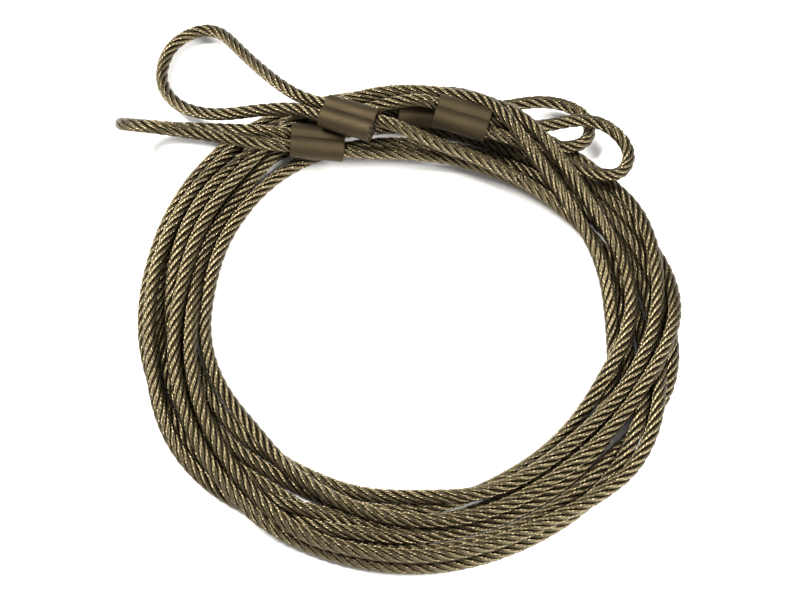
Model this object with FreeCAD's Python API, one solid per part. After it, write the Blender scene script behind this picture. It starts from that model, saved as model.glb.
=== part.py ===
import FreeCAD, Part
import math
import os

# Two wire rope slings coiled together into one loose hank that lies on a flat surface.
# Each sling is one length of stranded rope with a soft eye at both ends, and each eye
# is closed by a pressed two-bore ferrule.  Lengths are in millimetres.
# The hank is laid out about the middle of its coil, and then moved so that the origin
# is under the middle of the whole, on the surface that it lies on.

ROPE_D = 3.2                # rope over its strands
ROPE_GAP = 0.2              # between the two ropes side by side in a ferrule
FERRULE_LENGTH = 13.0
FERRULE_WALL = 1.1          # around the bores
FERRULE_CHAMFER = 0.25      # on the outer edge of each end
GRIP_GAP = 0.05             # between the rope's crowns and the ferrule's bore
COIL_INNER_R = 43.5         # inside edge of the coiled turns
COIL_OUTER_R = 61.5         # outside edge of the coiled turns
LAYER_HEIGHT = 4.0          # height that the turns of one sling take up
COIL_EDGE_R = 1.5           # rounding of the hank's outer and inner edges
CLEARANCE = 0.3             # between what lies in the hank and the turns around it
LEG_STRAIGHT = 9.0          # from a ferrule's face to the first bend of an eye's leg
LEAD_STRAIGHT = 5.0         # from a ferrule's other face to the first bend of the lead
HINGE_GAP = 0.3             # between the ball end of the bending lead and its fixed end
ARC_SHARE = 0.45            # share of the shorter run that an arc takes up
LOW_TILT_RISE = 0.6         # extra height of the lower left ferrule, which lies tilted
HIGH_TILT_RISE = 0.8        # extra height of the upper left ferrule, which lies tilted
ORIGIN_SHIFT = (4.1, -8.85) # from the middle of the coil to the middle of the whole

ROPE_R = ROPE_D / 2
BORE_OFFSET = (ROPE_D + ROPE_GAP) / 2
FERRULE_R = ROPE_R + FERRULE_WALL
SWAGE_HALF = FERRULE_LENGTH / 2
SEAT_LOW = LAYER_HEIGHT + CLEARANCE + FERRULE_R     # a ferrule's middle, lying on the lower turns
SEAT_HIGH = SEAT_LOW + 2 * FERRULE_R                # and one lying across a ferrule below it

# An end of a sling: where its ferrule's middle is, how the ferrule is turned (its local
# x axis points to the eye, y runs from one bore to the other, z is up through its broad
# face), which bore the main rope comes out of (+1 or -1 on y), the points of the eye's
# loop in the ferrule's axes, from the tail round to the main rope, and the points of the
# lead from the ferrule to the coil.
ENDS = {
    "sling_1_left": dict(
        middle=(-21.9, 40.9, SEAT_LOW + LOW_TILT_RISE), yaw=178.0, pitch=-7.0, main=1,
        loop=[(34, -5.6, -8.6), (46.5, -3.2, -5), (46.5, 3.2, 5), (34, 5.8, 9)],
        lead=[(0, 39.2, 5.2), (11, 38.4, 4.2), (21.5, 35.2, 3.2), (31, 29.5, 2.4), (39, 22, 2)],
    ),
    "sling_1_right": dict(
        middle=(4.3, 50.3, SEAT_LOW), yaw=-4.5, pitch=0.0, main=1,
        loop=[(29, -7.5, -1.5), (40.5, -5, -3), (40.5, 4, -3), (30, 7, -1.5)],
        lead=[(-15, 53.6, 6.2), (-24.5, 51.2, 4.4), (-33, 46.8, 2.8), (-40, 40.5, 2)],
    ),
    "sling_2_left": dict(
        middle=(-14.1, 44.2, SEAT_HIGH + HIGH_TILT_RISE), yaw=158.4, pitch=4.0, main=-1,
        loop=[(36, 9.5, -4.2), (51.5, 4, -7), (56, -10.5, -7.2), (46.5, -19.5, -6.3), (31.5, -9.8, -3.2)],
        lead=[(7.5, 37.8, 11.4), (17.5, 35.2, 9.6), (27, 30.6, 8), (35.5, 24.2, 6.8), (42.5, 16, 6)],
    ),
    "sling_2_right": dict(
        middle=(12.9, 44.8, SEAT_HIGH), yaw=-16.5, pitch=5.0, main=1,
        loop=[(29, -3.5, -1.3), (40.5, -2.5, -2.1), (41.5, 7, -2.1), (30.5, 12.5, -1.4)],
        lead=[(-7.5, 49.6, 10.4), (-16, 48.6, 7.6), (-24.5, 46.8, 6)],
    ),
}
BENDING_END = "sling_2_left"
HINGE_POINT = 2             # which point of its lead the lifted end bends at

nodes = {}


def vector(point):
    return FreeCAD.Vector(*point)


def end_placement(end):
    turn = FreeCAD.Rotation(end["yaw"], end["pitch"], 0)
    return FreeCAD.Placement(vector(end["middle"]), turn)


def in_end(end, point):
    """A point given in the ferrule's own axes."""
    return end_placement(end).multVec(vector(point))


def bore_point(end, side, along):
    """A point on the axis of one bore, so far along the ferrule from its middle."""
    return in_end(end, (along, side * BORE_OFFSET, 0))


def arc_radius(before, corner, after):
    """The largest radius that the two runs at a corner of a route allow."""
    shorter = min((corner - before).Length, (after - corner).Length)
    turn = (corner - before).getAngle(after - corner)
    return ARC_SHARE * shorter / math.tan(turn / 2)


def rope_wire(points):
    """Straight runs joined by tangent arcs, through a route's corners."""
    edges = []
    start = points[0]
    for before, corner, after in zip(points, points[1:], points[2:]):
        towards = (before - corner).normalize()
        onwards = (after - corner).normalize()
        turn = (corner - before).getAngle(after - corner)
        radius = arc_radius(before, corner, after)
        reach = radius * math.tan(turn / 2)
        first = corner + towards * reach
        last = corner + onwards * reach
        to_centre = (towards + onwards).normalize()
        middle = corner + to_centre * (radius / math.cos(turn / 2) - radius)
        edges.append(Part.LineSegment(start, first).toShape())
        edges.append(Part.Arc(first, middle, last).toShape())
        start = last
    edges.append(Part.LineSegment(start, points[-1]).toShape())
    return Part.Wire(edges)


def tube_along(edges, radius):
    """A solid round tube along some edges of a route."""
    first = edges[0]
    start = first.valueAt(first.FirstParameter)
    circle = Part.Circle(start, first.tangentAt(first.FirstParameter), radius).toShape()
    return Part.Wire(edges).makePipeShell([Part.Wire([circle])], True, False)


def rope_tube(points):
    """The rope along a route."""
    return tube_along(rope_wire(points).Edges, ROPE_R)


def rope_rooms(points):
    """The space that a rope needs among the turns, as two tubes, one for each half of its route."""
    edges = rope_wire(points).Edges
    half = len(edges) // 2
    return [tube_along(part, ROPE_R + CLEARANCE) for part in (edges[:half], edges[half:])]


def report_route(name, points, tube):
    """Prints a route's length and radii, and the tube's volume beside section times length."""
    radii = [arc_radius(*corner) for corner in zip(points, points[1:], points[2:])]
    length = rope_wire(points).Length
    expected = math.pi * ROPE_R ** 2 * length
    print(f"{name}: length {length:.1f}, radii", [round(radius, 1) for radius in radii])
    print(f"{name}: volume {tube.Volume:.1f}, section times length {expected:.1f}")


def eye_route(end):
    """From the tail, through the ferrule, round the eye and back through the other bore."""
    leg_end = SWAGE_HALF + LEG_STRAIGHT
    main = end["main"]
    route = [bore_point(end, -main, -SWAGE_HALF), bore_point(end, -main, leg_end)]
    route += [in_end(end, point) for point in end["loop"]]
    route += [bore_point(end, main, leg_end), bore_point(end, main, -SWAGE_HALF)]
    return route


def lead_route(end):
    """From the ferrule's coil side to where the rope joins the coiled turns."""
    main = end["main"]
    route = [bore_point(end, main, -SWAGE_HALF), bore_point(end, main, -SWAGE_HALF - LEAD_STRAIGHT)]
    return route + [vector(point) for point in end["lead"]]


def ferrule_lobe(side, radius, length, chamfer):
    """One half of the two-lobed sleeve, about one bore."""
    start = FreeCAD.Vector(-length / 2, side * BORE_OFFSET, 0)
    lobe = Part.makeCylinder(radius, length, start, FreeCAD.Vector(1, 0, 0))
    if chamfer:
        rims = [edge for edge in lobe.Edges if edge.Closed and isinstance(edge.Curve, Part.Circle)]
        lobe = lobe.makeChamfer(chamfer, rims)
    return lobe


def ferrule(end):
    """A pressed sleeve with two bores side by side."""
    body = ferrule_lobe(-1, FERRULE_R, FERRULE_LENGTH, FERRULE_CHAMFER)
    body = body.fuse(ferrule_lobe(1, FERRULE_R, FERRULE_LENGTH, FERRULE_CHAMFER))
    for side in (-1, 1):
        body = body.cut(ferrule_lobe(side, ROPE_R + GRIP_GAP, FERRULE_LENGTH + ROPE_D, 0))
    body.Placement = end_placement(end)
    return body


def ferrule_room(end):
    """The box that a ferrule needs among the turns."""
    length = FERRULE_LENGTH + 2 * CLEARANCE
    width = 2 * (BORE_OFFSET + FERRULE_R + CLEARANCE)
    height = 2 * (FERRULE_R + CLEARANCE)
    room = Part.makeBox(length, width, height, FreeCAD.Vector(-length / 2, -width / 2, -height / 2))
    room.Placement = end_placement(end)
    return room


def coil_layer(level):
    """The outer shape of one sling's coiled turns: a flat ring with rounded edges."""
    low = level * LAYER_HEIGHT
    high = low + LAYER_HEIGHT
    outer = Part.makeCylinder(COIL_OUTER_R, LAYER_HEIGHT, FreeCAD.Vector(0, 0, low))
    inner = Part.makeCylinder(COIL_INNER_R, LAYER_HEIGHT, FreeCAD.Vector(0, 0, low))
    ring = outer.cut(inner)
    rounded_height = high if level else low
    edges = [
        edge for edge in ring.Edges
        if edge.Closed and abs(edge.BoundBox.ZMin - rounded_height) < COIL_EDGE_R
        and edge.BoundBox.ZLength < COIL_EDGE_R
    ]
    return ring.makeFillet(COIL_EDGE_R, edges)


def build_end(name, end):
    """The eye, the ferrule and the lead of one end, and the rooms that they need."""
    eye = eye_route(end)
    lead = lead_route(end)
    nodes[f"{name}_eye"] = rope_tube(eye)
    report_route(f"{name}_eye", eye, nodes[f"{name}_eye"])
    nodes[f"{name}_ferrule"] = ferrule(end)
    whole_lead = rope_tube(lead)
    report_route(f"{name}_lead", lead, whole_lead)
    if name == BENDING_END:
        bending_lead(name, lead)
    else:
        nodes[f"{name}_lead"] = whole_lead
    return [ferrule_room(end)] + rope_rooms(eye) + rope_rooms(lead)


def bending_lead(name, lead):
    """A lead in two pieces: the lifted one ends in a ball where the rope bends."""
    hinge = lead[HINGE_POINT]
    onwards = (lead[HINGE_POINT + 1] - hinge).normalize()
    ball = Part.makeSphere(ROPE_R, hinge)
    nodes[f"{name}_lead"] = rope_tube(lead[:HINGE_POINT + 1]).fuse(ball)
    root_start = hinge + onwards * (ROPE_R + HINGE_GAP)
    nodes[f"{name}_root"] = rope_tube([root_start] + lead[HINGE_POINT + 1:])


os.makedirs("parts", exist_ok=True)
rooms = []
for end_name, end_values in ENDS.items():
    rooms += build_end(end_name, end_values)

for level, name in enumerate(("sling_1_coil", "sling_2_coil")):
    ring = coil_layer(level)
    for room in rooms:
        ring = ring.cut(room)
    nodes[name] = ring

shift = FreeCAD.Vector(ORIGIN_SHIFT[0], ORIGIN_SHIFT[1], 0)
whole = FreeCAD.BoundBox()
for name, shape in nodes.items():
    shape.translate(shift)
    whole.add(shape.optimalBoundingBox(False))
    print(name, "solids", len(shape.Solids), "volume", round(shape.Volume, 1), "valid", shape.isValid())
    shape.exportStep(f"parts/{name}.step")
print("box", whole, "middle", whole.Center)
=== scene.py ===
import math
import bpy
import numpy as np
from mathutils import Euler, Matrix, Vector


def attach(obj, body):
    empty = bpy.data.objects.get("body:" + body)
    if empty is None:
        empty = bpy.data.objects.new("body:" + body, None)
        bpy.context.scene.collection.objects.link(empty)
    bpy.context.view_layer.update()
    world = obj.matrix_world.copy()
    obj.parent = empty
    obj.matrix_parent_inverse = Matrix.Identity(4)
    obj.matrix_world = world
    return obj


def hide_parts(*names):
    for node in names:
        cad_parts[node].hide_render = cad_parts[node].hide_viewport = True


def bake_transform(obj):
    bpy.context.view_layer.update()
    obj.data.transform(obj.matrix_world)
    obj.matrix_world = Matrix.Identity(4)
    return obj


# Two wire rope slings coiled together into one loose hank on a pale table.
# Lengths are in millimetres about the middle of the coil; to_frame() turns them into the
# frame's metres.

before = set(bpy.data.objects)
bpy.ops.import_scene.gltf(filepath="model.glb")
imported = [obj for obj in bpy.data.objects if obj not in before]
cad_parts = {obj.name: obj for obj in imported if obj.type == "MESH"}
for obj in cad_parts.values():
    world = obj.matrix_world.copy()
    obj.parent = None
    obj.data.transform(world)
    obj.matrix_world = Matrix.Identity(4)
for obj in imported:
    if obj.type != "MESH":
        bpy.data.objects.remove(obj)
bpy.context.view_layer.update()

MM = 0.001
ORIGIN_SHIFT = (4.1, -8.85, 0.0)   # from the middle of the coil to the frame's origin

# The ends, as the CAD part has them; only the two left leads run a little lower and
# further out where they come to the coil
ROPE_D = 3.2
ROPE_GAP = 0.2              # between the two ropes side by side in a ferrule
FERRULE_LENGTH = 13.0
FERRULE_WALL = 1.1
LAYER_HEIGHT = 4.0
CLEARANCE = 0.3
LEG_STRAIGHT = 9.0          # from a ferrule's face to the first bend of an eye's leg
LEAD_STRAIGHT = 5.0         # from a ferrule's other face to the first bend of the lead
LOW_TILT_RISE = 0.6
HIGH_TILT_RISE = 0.8

ROPE_R = ROPE_D / 2
BORE_OFFSET = (ROPE_D + ROPE_GAP) / 2
FERRULE_R = ROPE_R + FERRULE_WALL
SWAGE_HALF = FERRULE_LENGTH / 2
SEAT_LOW = LAYER_HEIGHT + CLEARANCE + FERRULE_R
SEAT_HIGH = SEAT_LOW + 2 * FERRULE_R

# An end of a sling: its ferrule's middle and turn, the bore that the main rope comes out
# of, the eye's loop in the ferrule's axes (x to the eye, y from bore to bore), and the
# lead from the ferrule to the coil.
ENDS = {
    "sling_1_left": dict(
        middle=(-21.9, 40.9, SEAT_LOW + LOW_TILT_RISE),
        yaw=178.0,
        pitch=-7.0,
        main=1,
        loop=[(34, -5.6, -8.6), (46.5, -3.2, -5), (46.5, 3.2, 5), (34, 5.8, 9)],
        lead=[(0, 39.2, 5.2), (11, 38.6, 4.0), (22, 35.6, 2.6), (32, 30.4, 1.8), (40.5, 22.4, 1.6)],
    ),
    "sling_1_right": dict(
        middle=(4.3, 50.3, SEAT_LOW),
        yaw=-4.5,
        pitch=0.0,
        main=1,
        loop=[(29, -7.5, -1.5), (40.5, -5, -3), (40.5, 4, -3), (30, 7, -1.5)],
        lead=[(-15, 53.6, 6.2), (-24.5, 51.2, 4.4), (-33, 46.8, 2.8), (-40, 40.5, 2)],
    ),
    "sling_2_left": dict(
        middle=(-14.1, 44.2, SEAT_HIGH + HIGH_TILT_RISE),
        yaw=158.4,
        pitch=4.0,
        main=-1,
        loop=[(36, 9.5, -4.2), (51.5, 4, -7), (56, -10.5, -7.2), (46.5, -19.5, -6.3), (31.5, -9.8, -3.2)],
        lead=[(7.5, 37.8, 11.4), (17.5, 35.2, 9.2), (27, 31, 6.8), (36, 24.8, 5.2), (43.2, 16.6, 4.6)],
    ),
    "sling_2_right": dict(
        middle=(12.9, 44.8, SEAT_HIGH),
        yaw=-16.5,
        pitch=5.0,
        main=1,
        loop=[(29, -3.5, -1.3), (40.5, -2.5, -2.1), (41.5, 7, -2.1), (30.5, 12.5, -1.4)],
        lead=[(-7.5, 49.6, 10.4), (-16, 48.6, 7.6), (-24.5, 46.8, 6)],
    ),
}

# The coil.  Its turns run clockwise from above.  Round the bundle they change places the
# way hand-coiled rope does: those on top slide inwards, go under at the inner edge, move
# out along the table and come up again outside.  A place in that round trip is a number
# from 0 to 8: 0 to 4 on top from the outer edge in, 4 to 8 below from the inner edge out.
PLACES = 8.0
PLACES_PER_TURN = 6.0
BUNDLE_START = 30.0         # degrees, where the round is counted from
STATION_STEP = 30.0         # degrees between the stations of the lists below
INNER = [42.5, 45.2, 45.6, 45.0, 45.4, 44.8, 46.0, 44.6, 44.0, 43.2, 42.2, 41.0]
OUTER = [58.0, 64.8, 62.4, 59.2, 60.0, 58.2, 60.4, 59.4, 61.8, 60.2, 58.0, 55.0]
ADVANCE = [0.0, 0.8, 2.3, 2.75, 2.8, 3.4, 4.6, 5.1, 5.2, 5.0, 4.7, 5.1]
RUNS = {
    "sling_1": dict(first=6.0, last=1329.0, place=4.5),
    "sling_2": dict(first=15.0, last=1347.0, place=3.5),
}
NEST = 0.45                 # how far out the lower layer lies, to be between the upper ropes
LAYER_CHANGE = 0.5          # places before and after an edge over which a rope changes layer
LAYER_LIFT = 3.4            # height between the two layers before they settle
EYE_CROSSING = 346.0        # degrees on, where the first turn of each sling goes over the eyes
EYE_CROSSING_EASE = 20.0    # degrees over which it comes up to them, and goes down again
EYES_LIFT = 9.0
EYES_SHIFT = -4.0           # how far out it moves there; less than 0 is inwards
UNDER_EYES = 712.0          # degrees on, where the second turn of each goes below the eyes
UNDER_EYES_EASE = 14.0
UNDER_SHIFT = {"sling_1": 2.6, "sling_2": -1.6}
LOWEST_TURN = 1080.0        # degrees on, from where the first sling's rope keeps below the others
LOWEST_EASE = 40.0
LOWEST_LIFT = 3.2
HOMEWARD = 40.0             # degrees over which a run comes to the lead that it joins
MOST_TURNS = 4
TURN_STEPS = 120            # steps in which the turns are settled on each other
CONTROL_STEP = 3            # one control point of the rope for so many of them
SETTLE_ROUNDS = 600
SETTLE_FALL = 0.03          # how far a turn sinks in a round
HOLD = 0.009                # how strongly a turn keeps to its place while it settles
SIDE_PUSH = 0.45            # share of an overlap that each of two turns gives way
END_PUSH = 0.6              # share of an overlap that a turn gives way to an end
RADIUS_STIFFNESS = 0.16     # how strongly the rope keeps straight, in plan
HEIGHT_STIFFNESS = 0.2      # and in height
CONTACT_D = ROPE_D * 1.03
FERRULE_CLEAR = 0.1
END_STEP = 1.0              # between the points of an end that the turns keep off
FREE_LENGTH = 4 * ROPE_D    # a turn is not pushed off the ends this near its own lead

# The rope itself: six strands laid right-handed over a core strand
STRANDS = 6
LAY = 16.3                  # length of one full turn of a strand
STRAND_R = ROPE_D / 6
STRAND_TURN_R = ROPE_D / 3
STRAND_WIDTH = 1.06         # a strand's section is this much wider than high, being slanted
STRAND_ANGLES = (-150, -104, -74, -44, -15, 15, 44, 74, 104, 150)
WIRES = 12                  # outer wires of one strand
WIRE_SLOPE = 0.91           # radians that a wire winds back round its strand per millimetre
RING_STEP = 1.25            # between the rings of the mesh along the rope
CORE_SIDES = 6
SPLINE_RESOLUTION = 12

# Camera and light
CAMERA_ELEVATION = 65.0
CAMERA_DISTANCE = 279.0
CAMERA_TARGET = (-2.0, 2.5, 0.0)
CAMERA_LENS = 53.8


def to_frame(points):
    """Points about the middle of the coil in millimetres, as points of the frame in metres."""
    return (np.asarray(points, float) + ORIGIN_SHIFT) * MM


# ---------------------------------------------------------------- routes of the ends

def in_end(end, point):
    """A point given in the ferrule's own axes: x to the eye, y from bore to bore, z up."""
    turn = Euler((0, math.radians(end["pitch"]), math.radians(end["yaw"])), "XYZ")
    return np.array(turn.to_matrix() @ Vector(point)) + end["middle"]


def bore_point(end, side, along):
    return in_end(end, (along, side * BORE_OFFSET, 0))


def eye_route(end):
    """From the tail through the ferrule, round the eye and back to the ferrule's coil side."""
    main = end["main"]
    stations = (-SWAGE_HALF, SWAGE_HALF, SWAGE_HALF + LEG_STRAIGHT)
    route = [bore_point(end, -main, along) for along in stations]
    route += [in_end(end, point) for point in end["loop"]]
    return route + [bore_point(end, main, along) for along in reversed(stations)]


def lead_route(end):
    first = bore_point(end, end["main"], -SWAGE_HALF - LEAD_STRAIGHT)
    return [first] + [np.array(point, float) for point in end["lead"]]


def spline_points(name, points):
    """The points of the NURBS spline that has these control points, all in millimetres."""
    curve = bpy.data.curves.new(name, "CURVE")
    curve.dimensions = "3D"
    spline = curve.splines.new("NURBS")
    spline.points.add(len(points) - 1)
    for control, point in zip(spline.points, points):
        control.co = (*point, 1.0)
    spline.order_u = 3
    spline.use_endpoint_u = True
    spline.resolution_u = SPLINE_RESOLUTION
    line = bpy.data.objects.new(name, curve)
    bpy.context.scene.collection.objects.link(line)
    bpy.context.view_layer.update()
    mesh = bpy.data.meshes.new_from_object(line)
    found = np.array([vertex.co for vertex in mesh.vertices], float)
    bpy.data.objects.remove(line)
    bpy.data.meshes.remove(mesh)
    bpy.data.curves.remove(curve)
    return found


def evenly(points, step):
    """The same line with its points the same distance apart."""
    runs = np.linalg.norm(np.diff(points, axis=0), axis=1)
    along = np.concatenate([[0], np.cumsum(runs)])
    count = int(round(along[-1] / step)) + 1
    wanted = np.linspace(0, along[-1], count)
    return np.stack([np.interp(wanted, along, points[:, axis]) for axis in range(3)], axis=1)


# ---------------------------------------------------------------- the coiled turns

def round_trip(values, degrees):
    """A list of values at the stations, smoothly interpolated round the whole bundle."""
    count = len(values)
    where = np.asarray(degrees) / STATION_STEP
    index = np.floor(where).astype(int)
    share = where - index
    before, here, after, beyond = (np.take(values, index + k, mode="wrap") for k in (-1, 0, 1, 2))
    slope = after - before
    bend = 2 * before - 5 * here + 4 * after - beyond
    twist = 3 * (here - after) + beyond - before
    return here + 0.5 * share * (slope + share * (bend + share * twist))


def place_along(degrees):
    """How many places a rope has moved on, so many degrees after the bundle's start."""
    slope = PLACES_PER_TURN / 360.0
    wander = [value - slope * STATION_STEP * index for index, value in enumerate(ADVANCE)]
    return slope * np.asarray(degrees) + round_trip(wander, degrees)


def bundle_point(place, degrees):
    """Radius and height of a place of the bundle, before anything has settled."""
    place = np.mod(place, PLACES)
    half = PLACES / 2
    edge = np.clip(np.minimum(place % half, half - place % half) / LAYER_CHANGE, 0, 1)
    across = np.where(place < half, place / half, 2 - (place + NEST * edge) / half)
    inner, outer = round_trip(INNER, degrees), round_trip(OUTER, degrees)
    upper = np.where(place < half, 0.5 + 0.5 * edge, 0.5 - 0.5 * edge)
    return outer + (inner - outer) * across, ROPE_R + LAYER_LIFT * upper


def run_steps(run):
    step = 360.0 / TURN_STEPS
    return np.arange(math.ceil(run["first"] / step), math.floor(run["last"] / step) + 1)


def before_settling(name):
    """Radii and heights of a sling's turns as they are laid, before they sink."""
    degrees = run_steps(RUNS[name]) * 360.0 / TURN_STEPS
    onward = np.minimum(degrees, LOWEST_TURN) if name == "sling_1" else degrees
    place = np.mod(RUNS[name]["place"] + place_along(onward), PLACES)
    radius, height = bundle_point(place, degrees)
    over = np.clip(2 - np.abs(degrees - EYE_CROSSING) / EYE_CROSSING_EASE, 0, 1)
    under = np.clip(2 - np.abs(degrees - UNDER_EYES) / UNDER_EYES_EASE, 0, 1)
    lowest = np.clip((degrees - LOWEST_TURN) / LOWEST_EASE, 0, 1) * (name == "sling_1")
    radius = radius + EYES_SHIFT * over + UNDER_SHIFT[name] * under
    height = height + EYES_LIFT * over + LOWEST_LIFT * (1 - lowest)
    height = ROPE_R + (height - ROPE_R) * (1 - under)
    from_start, to_end = degrees - degrees[0], degrees[-1] - degrees
    for side, far in (("_left", from_start), ("_right", to_end)):
        share = np.clip(far / HOMEWARD, 0, 1)
        share = share * share * (3 - 2 * share)
        x, y, z = ENDS[name + side]["lead"][-1]
        radius = math.hypot(x, y) + (radius - math.hypot(x, y)) * share
        height = z + (height - z) * share
    return radius, height


def obstacles():
    """Points along the ropes and the ferrules of the ends, and how near a turn may come to each."""
    points, reach = [], []
    for end in ENDS.values():
        line = evenly(spline_points("end", eye_route(end) + lead_route(end)), END_STEP)
        points.append(line)
        reach.append(np.full(len(line), CONTACT_D))
        for side in (-1, 1):
            stations = np.linspace(-SWAGE_HALF, SWAGE_HALF, 9)
            points.append(np.array([bore_point(end, side, along) for along in stations]))
            reach.append(np.full(len(stations), FERRULE_R + ROPE_R + FERRULE_CLEAR))
    return np.concatenate(points), np.concatenate(reach)


def push_apart(radius, height, there):
    """Turns that are side by side at the same angle move off each other."""
    shape = radius.shape
    radius, height, there = (values.reshape(-1, TURN_STEPS) for values in (radius, height, there))
    dr = radius[:, None] - radius[None]
    dz = height[:, None] - height[None]
    apart = np.sqrt(dr ** 2 + dz ** 2) + 1e-6
    push = np.clip(CONTACT_D - apart, 0, None) * SIDE_PUSH * (there[:, None] & there[None])
    push[np.arange(len(radius)), np.arange(len(radius))] = 0
    return (push * dr / apart).sum(1).reshape(shape), (push * dz / apart).sum(1).reshape(shape)


def push_off(spots, free, fixed, reach):
    """How far each spot moves to clear the obstacle that it lies deepest in."""
    square = (spots ** 2).sum(1)[:, None] + (fixed ** 2).sum(1)[None] - 2 * spots @ fixed.T
    away = np.sqrt(np.clip(square, 1e-6, None))
    lack = np.clip(reach[None] - away, 0, None) * free[:, None]
    worst = lack.argmax(1)
    pick = np.arange(len(spots))
    return (spots - fixed[worst]) * (lack[pick, worst] / away[pick, worst] * END_PUSH)[:, None]


def settle():
    """Lets the turns of both slings sink onto the table, each other and the ends."""
    names = list(RUNS)
    total = MOST_TURNS * TURN_STEPS
    radius, height = np.zeros((len(names), total)), np.zeros((len(names), total))
    there = np.zeros((len(names), total), bool)
    steps = [run_steps(RUNS[name]) for name in names]
    for row, name in enumerate(names):
        radius[row, steps[row]], height[row, steps[row]] = before_settling(name)
        there[row, steps[row]] = True
    wanted = radius.copy()
    direction = np.radians(BUNDLE_START - np.arange(total) * 360.0 / TURN_STEPS)
    outwards = np.stack([np.cos(direction), np.sin(direction)], axis=1)
    fixed, reach = obstacles()
    joints = [[ENDS[name + side]["lead"][-1] for side in ("_left", "_right")] for name in names]
    for _ in range(SETTLE_ROUNDS):
        radius += HOLD * (wanted - radius)
        height -= SETTLE_FALL
        out, up = push_apart(radius, height, there)
        radius += out
        height += up
        for row, mine in enumerate(steps):
            spots = np.column_stack([outwards[mine] * radius[row, mine, None], height[row, mine]])
            first, last = (np.linalg.norm(spots - joint, axis=1) for joint in joints[row])
            free = np.minimum(first, last) > FREE_LENGTH
            shove = push_off(spots, free, fixed, reach)
            radius[row, mine] += (shove[:, :2] * outwards[mine]).sum(1)
            height[row, mine] += shove[:, 2]
            pins = [(math.hypot(*joint[:2]), joint[2]) for joint in joints[row]]
            for values, axis, stiffness in ((radius, 0, RADIUS_STIFFNESS), (height, 1, HEIGHT_STIFFNESS)):
                line = np.concatenate([[pins[0][axis]], values[row, mine], [pins[1][axis]]])
                values[row, mine] += stiffness * (line[:-2] + line[2:] - 2 * line[1:-1])
        height = np.maximum(height, ROPE_R)
    return {name: (radius[row], height[row]) for row, name in enumerate(names)}


def coil_route(name, settled):
    """The control points of a sling's turns, worked out from the settled radii and heights."""
    radius, height = settled[name]
    points = []
    for index in run_steps(RUNS[name])[::CONTROL_STEP]:
        direction = math.radians(BUNDLE_START - index * 360.0 / TURN_STEPS)
        x, y = radius[index] * math.cos(direction), radius[index] * math.sin(direction)
        points.append((x, y, height[index]))
    return points


def sling_route(name, settled):
    left, right = ENDS[name + "_left"], ENDS[name + "_right"]
    before = eye_route(left) + lead_route(left)
    after = eye_route(right) + lead_route(right)
    return before + coil_route(name, settled) + after[::-1]


# ---------------------------------------------------------------- the rope's strands

def frames_along(points):
    """Directions along and across a line, carried along it without twist."""
    ahead = np.gradient(points, axis=0)
    ahead /= np.linalg.norm(ahead, axis=1)[:, None]
    side = np.zeros_like(ahead)
    start = np.cross(ahead[0], (0, 0, 1))
    side[0] = start / np.linalg.norm(start)
    for index in range(1, len(points)):
        carried = side[index - 1] - ahead[index] * side[index - 1].dot(ahead[index])
        side[index] = carried / np.linalg.norm(carried)
    return ahead, side, np.cross(ahead, side)


def tube_faces(rings, around, base):
    ring, corner = np.meshgrid(np.arange(rings - 1), np.arange(around), indexing="ij")
    here = base + ring * around + corner
    after = base + ring * around + (corner + 1) % around
    return np.stack([here, after, after + around, here + around], axis=-1).reshape(-1, 4)


def tube_caps(rings, around, base):
    last = base + (rings - 1) * around
    return [list(range(base, base + around))[::-1], list(range(last, last + around))]


def rope_mesh(name, points, first, last):
    """The strands of the rope along its line, from one ring to another."""
    ahead, side, up = frames_along(points)
    along = np.arange(len(points)) * np.linalg.norm(points[1] - points[0])
    part = slice(first, last + 1)
    points, side, up, along = points[part], side[part], up[part], along[part]
    rings = len(points)
    angles = np.radians(STRAND_ANGLES)
    around = len(angles)
    vertices, faces, caps, crown, wire = [], [], [], [], []
    base = 0
    for strand in range(STRANDS):
        turn = 2 * math.pi * (along / LAY + strand / STRANDS)
        out = side * np.cos(turn)[:, None] + up * np.sin(turn)[:, None]
        over = -side * np.sin(turn)[:, None] + up * np.cos(turn)[:, None]
        middle = points + out * STRAND_TURN_R
        section = (
            middle[:, None, :]
            + out[:, None, :] * (STRAND_R * np.cos(angles))[None, :, None]
            + over[:, None, :] * (STRAND_R * STRAND_WIDTH * np.sin(angles))[None, :, None])
        vertices.append(section.reshape(-1, 3))
        faces.append(tube_faces(rings, around, base))
        caps += tube_caps(rings, around, base)
        crown.append(np.tile(np.cos(angles), rings))
        wire_angles = angles[None, :] + WIRE_SLOPE * along[:, None]
        wire.append((wire_angles * WIRES / (2 * math.pi)).reshape(-1))
        base += rings * around
    core_angles = np.linspace(0, 2 * math.pi, CORE_SIDES, endpoint=False)
    core = (
        points[:, None, :]
        + side[:, None, :] * (STRAND_R * np.cos(core_angles))[None, :, None]
        + up[:, None, :] * (STRAND_R * np.sin(core_angles))[None, :, None])
    vertices.append(core.reshape(-1, 3))
    faces.append(tube_faces(rings, CORE_SIDES, base))
    caps += tube_caps(rings, CORE_SIDES, base)
    crown.append(np.full(rings * CORE_SIDES, -1.0))
    wire.append(np.zeros(rings * CORE_SIDES))
    vertices = to_frame(np.concatenate(vertices))
    mesh = bpy.data.meshes.new(name)
    mesh.from_pydata(vertices.tolist(), [], np.concatenate(faces).tolist() + caps)
    for attribute, values in (("crown", np.concatenate(crown)), ("wire", np.concatenate(wire))):
        layer = mesh.attributes.new(attribute, "FLOAT", "POINT")
        layer.data.foreach_set("value", values.astype(np.float32))
    mesh.polygons.foreach_set("use_smooth", np.ones(len(mesh.polygons), bool))
    mesh.update()
    piece = bpy.data.objects.new(name, mesh)
    bpy.context.scene.collection.objects.link(piece)
    return piece


# ---------------------------------------------------------------- materials

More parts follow.
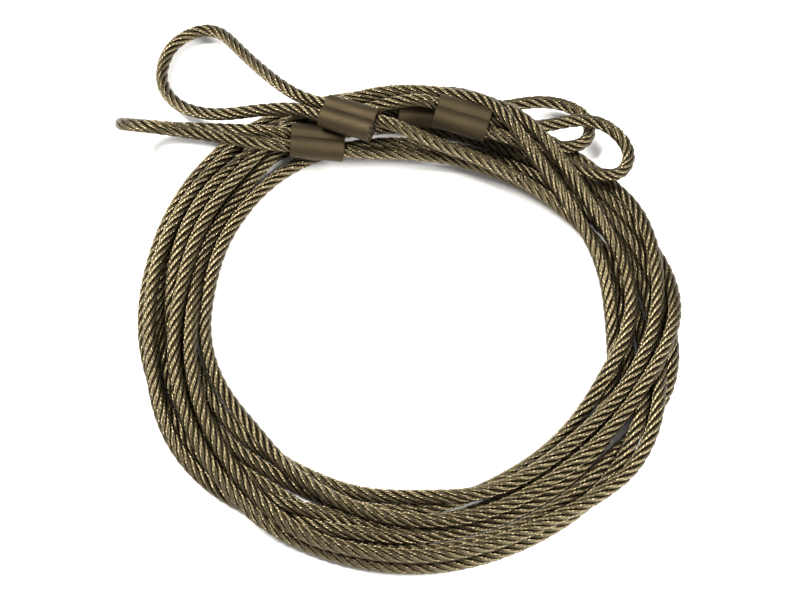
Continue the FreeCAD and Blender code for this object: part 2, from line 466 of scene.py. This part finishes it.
class Nodes:
    """A short way to write a material's node tree."""

    def __init__(self, name):
        self.material = bpy.data.materials.new(name)
        self.material.use_nodes = True
        self.tree = self.material.node_tree
        self.shader = self.tree.nodes["Principled BSDF"]

    def add(self, kind, settings=None, inputs=None):
        node = self.tree.nodes.new(kind)
        for key, value in (settings or {}).items():
            setattr(node, key, value)
        for key, value in (inputs or {}).items():
            self.put(node, key, value)
        return node

    def put(self, node, key, value):
        if isinstance(value, bpy.types.NodeSocket):
            self.tree.links.new(value, node.inputs[key])
        else:
            node.inputs[key].default_value = value

    def math(self, operation, first, second=0.0):
        return self.add("ShaderNodeMath", {"operation": operation}, {0: first, 1: second}).outputs[0]

    def ranged(self, value, low, high, to_low, to_high):
        return self.add("ShaderNodeMapRange", None, {
            "Value": value, "From Min": low, "From Max": high, "To Min": to_low, "To Max": to_high,
        }).outputs["Result"]

    def noise(self, scale, detail, vector):
        node = self.add("ShaderNodeTexNoise", None, {"Scale": scale, "Detail": detail, "Vector": vector})
        return node.outputs["Fac"]

    def mix(self, share, first, second):
        node = self.add("ShaderNodeMix", {"data_type": "RGBA"})
        self.put(node, 0, share)
        self.put(node, 6, first)
        self.put(node, 7, second)
        return node.outputs[2]


def rope_material():
    nodes = Nodes("wire_rope_steel")
    crown = nodes.add("ShaderNodeAttribute", {"attribute_name": "crown"}).outputs["Fac"]
    wire = nodes.add("ShaderNodeAttribute", {"attribute_name": "wire"}).outputs["Fac"]
    place = nodes.add("ShaderNodeTexCoord").outputs["Object"]
    blotch = nodes.noise(180.0, 3.0, place)
    grain = nodes.noise(2600.0, 2.0, place)
    wave = nodes.math("SINE", nodes.math("MULTIPLY", wire, 2 * math.pi))
    clean = nodes.mix(blotch, (0.126, 0.101, 0.055, 1), (0.172, 0.143, 0.087, 1))
    # Painted shade: the colour darkens towards the grooves between the strands, where a strand's surface
    # turns inwards; it also stands for dark grease there.
    groove_shade_and_grease = nodes.ranged(crown, 0.24, 0.62, 1.0, 0.0)
    shaded_and_greased = nodes.mix(groove_shade_and_grease, clean, (0.034, 0.026, 0.013, 1))
    # Painted shade: thin dark lines in the gaps between the wires of each strand, where the wire wave is low.
    seam = nodes.ranged(wave, -1.0, -0.2, 0.55, 0.0)
    base = nodes.mix(seam, shaded_and_greased, (0.035, 0.026, 0.013, 1))
    rough = nodes.ranged(grain, 0.3, 0.7, 0.23, 0.35)
    bump = nodes.add("ShaderNodeBump", None, {"Strength": 0.6, "Distance": 0.00006, "Height": wave})
    nodes.put(nodes.shader, "Base Color", base)
    nodes.put(nodes.shader, "Roughness", rough)
    nodes.put(nodes.shader, "Metallic", 1.0)
    nodes.put(nodes.shader, "Normal", bump.outputs["Normal"])
    return nodes.material


def ferrule_material():
    nodes = Nodes("ferrule_metal")
    place = nodes.add("ShaderNodeTexCoord").outputs["Object"]
    streak_place = nodes.add("ShaderNodeMapping", None, {"Vector": place, "Scale": (60, 900, 900)}).outputs[0]
    streak = nodes.noise(1.0, 4.0, streak_place)
    blotch = nodes.noise(150.0, 3.0, place)
    clean = nodes.mix(streak, (0.044, 0.033, 0.018, 1), (0.066, 0.051, 0.029, 1))
    base = nodes.mix(nodes.ranged(blotch, 0.35, 0.75, 0.0, 0.5), clean, (0.038, 0.028, 0.015, 1))
    rough = nodes.ranged(streak, 0.3, 0.7, 0.58, 0.72)
    bump = nodes.add("ShaderNodeBump", None, {"Strength": 0.15, "Distance": 0.00005, "Height": streak})
    nodes.put(nodes.shader, "Base Color", base)
    nodes.put(nodes.shader, "Roughness", rough)
    nodes.put(nodes.shader, "Metallic", 0.95)
    nodes.put(nodes.shader, "Normal", bump.outputs["Normal"])
    return nodes.material


def floor_material():
    nodes = Nodes("table_top")
    place = nodes.add("ShaderNodeTexCoord").outputs["Object"]
    speck = nodes.noise(40.0, 2.0, place)
    nodes.put(nodes.shader, "Base Color", nodes.mix(speck, (0.80, 0.80, 0.80, 1), (0.83, 0.83, 0.83, 1)))
    nodes.put(nodes.shader, "Roughness", 0.8)
    return nodes.material


# ---------------------------------------------------------------- the slings


def build_slings():
    settled = settle()
    steel = rope_material()
    lines = {
        name: evenly(spline_points(name, sling_route(name, settled)), RING_STEP) for name in RUNS
    }
    for name, line in lines.items():
        print(name, "rope", round(len(line) * RING_STEP), "mm")

    line = lines["sling_1"]
    rope = rope_mesh("sling_1_rope", line, 0, len(line) - 1)
    rope.data.materials.append(steel)
    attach(rope, "hank")
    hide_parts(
        "sling_1_coil", "sling_1_left_eye", "sling_1_left_lead",
        "sling_1_right_eye", "sling_1_right_lead")

    line = lines["sling_2"]
    seam = seam_ring(line)
    rope = rope_mesh("sling_2_rope", line, seam, len(line) - 1)
    rope.data.materials.append(steel)
    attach(rope, "hank")
    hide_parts("sling_2_coil", "sling_2_left_root", "sling_2_right_lead", "sling_2_right_eye")

    rope = rope_mesh("sling_2_left_end_rope", line, 0, seam)
    rope.data.materials.append(steel)
    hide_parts("sling_2_left_eye", "sling_2_left_lead")
    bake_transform(rope)


def seam_ring(line):
    """The ring of the second sling's rope where its lifting end goes over into the coil."""
    target = np.array(ENDS["sling_2_left"]["lead"][2])
    return int(np.linalg.norm(line[:len(line) // 4] - target, axis=1).argmin())


def dress_ferrules():
    metal = ferrule_material()
    for name in ENDS:
        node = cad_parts[name + "_ferrule"]
        node.data.materials.clear()
        node.data.materials.append(metal)


# ---------------------------------------------------------------- the studio

def area_light(name, place, size, power, colour):
    light = bpy.data.lights.new(name, "AREA")
    light.size = size * MM
    light.energy = power
    light.color = colour
    lamp = bpy.data.objects.new(name, light)
    lamp.location = Vector(place) * MM
    lamp.rotation_euler = (-Vector(place)).to_track_quat("-Z", "Y").to_euler()
    bpy.context.scene.collection.objects.link(lamp)


def studio():
    mesh = bpy.data.meshes.new("table_top")
    half = 3.0
    corners = [(-half, -half, 0), (half, -half, 0), (half, half, 0), (-half, half, 0)]
    mesh.from_pydata(corners, [], [(0, 1, 2, 3)])
    floor = bpy.data.objects.new("table_top", mesh)
    bpy.context.scene.collection.objects.link(floor)
    mesh.materials.append(floor_material())
    area_light("key", (-240, 90, 390), 150, 4.3, (1, 0.97, 0.91))
    area_light("fill", (310, -90, 310), 160, 3.6, (1, 0.98, 0.94))
    world = bpy.data.worlds.new("studio")
    world.use_nodes = True
    world.node_tree.nodes["Background"].inputs["Color"].default_value = (1, 1, 1, 1)
    world.node_tree.nodes["Background"].inputs["Strength"].default_value = 0.48
    bpy.context.scene.world = world
    camera = bpy.data.cameras.new("camera")
    camera.lens = CAMERA_LENS
    camera.clip_start = 0.01
    holder = bpy.data.objects.new("camera", camera)
    rise = math.radians(CAMERA_ELEVATION)
    target = Vector(to_frame([CAMERA_TARGET])[0])
    back = Vector((0, -math.cos(rise), math.sin(rise)))
    holder.location = target + back * CAMERA_DISTANCE * MM
    holder.rotation_euler = back.to_track_quat("Z", "Y").to_euler()
    bpy.context.scene.collection.objects.link(holder)
    bpy.context.scene.camera = holder
    bpy.context.scene.view_settings.view_transform = "Standard"


build_slings()
dress_ferrules()
studio()
